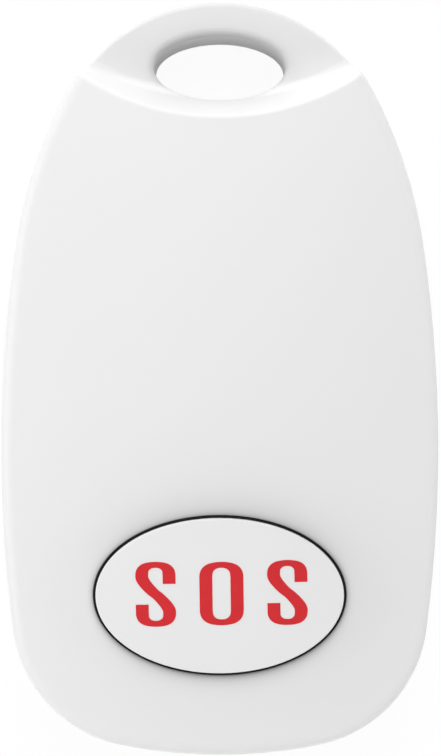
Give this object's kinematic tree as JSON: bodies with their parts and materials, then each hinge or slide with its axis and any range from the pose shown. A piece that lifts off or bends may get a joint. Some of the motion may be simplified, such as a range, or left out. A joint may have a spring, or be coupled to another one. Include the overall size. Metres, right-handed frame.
{
  "type": "wireless push button",
  "caption": "Pendant wireless call button: pebble-shaped white plastic fob with an oval push button near the tail and an eyelet for a lanyard at the other end.",
  "frame": {"origin": "on the flat rear face, under the middle of the outline's bounding box; the fob lies on its back", "axes": "+Y along the fob towards the eyelet, +Z out of the button and the front face, +X to the right seen from the front"},
  "size_m": [0.0344, 0.06, 0.0139],
  "materials": {
    "shell": "fine satin white ABS",
    "button": "fine satin white ABS with a red printed legend",
    "seal": "soft dark silicone",
    "rubber": "matt black silicone",
    "frame": "natural nylon",
    "steel": "plated steel",
    "board": "green solder mask",
    "switch_plastic": "moulded black nylon",
    "plunger": "moulded black nylon",
    "cell": "nickel-plated can",
    "contact": "gold-plated contact",
    "chip": "moulded epoxy",
    "crystal": "nickel-plated can",
    "antenna": "tinned copper wire",
    "ceramic": "fired ceramic"
  },
  "bodies": {
    "housing": {"front_shell": "shell", "rear_shell": "shell", "housing_seal": "seal", "housing_screws": "steel", "button_boot": "rubber", "boot_frame": "frame", "frame_screws": "steel", "circuit_board": "board", "board_screws": "steel", "switch_base": "switch_plastic", "switch_terminals": "steel", "switch_dome": "steel", "switch_cover": "steel", "coin_cell": "cell", "battery_clip": "steel", "battery_contact": "contact", "controller_chip": "chip", "transmitter_chip": "chip", "quartz_crystal": "crystal", "loop_antenna": "antenna", "chip_resistors": "chip", "chip_capacitors": "ceramic"},
    "button": {"button_cap": "button"},
    "plunger": {"switch_plunger": "plunger"}
  },
  "joints": [
    {"name": "button_press", "type": "slide", "parent": "housing", "child": "button", "axis": [0, 0, -1], "range_m": [0, 0.0003], "stiffness_N_per_m": 2500, "springref_m": -0.0005, "deforming": ["button_boot"]},
    {"name": "plunger_press", "type": "slide", "parent": "housing", "child": "plunger", "axis": [0, 0, -1], "range_m": [0, 0.0003], "deforming": ["switch_dome"]}
  ],
  "couplings": [
    {"joint": "plunger_press", "follows": "button_press", "ratio": 1}
  ]
}
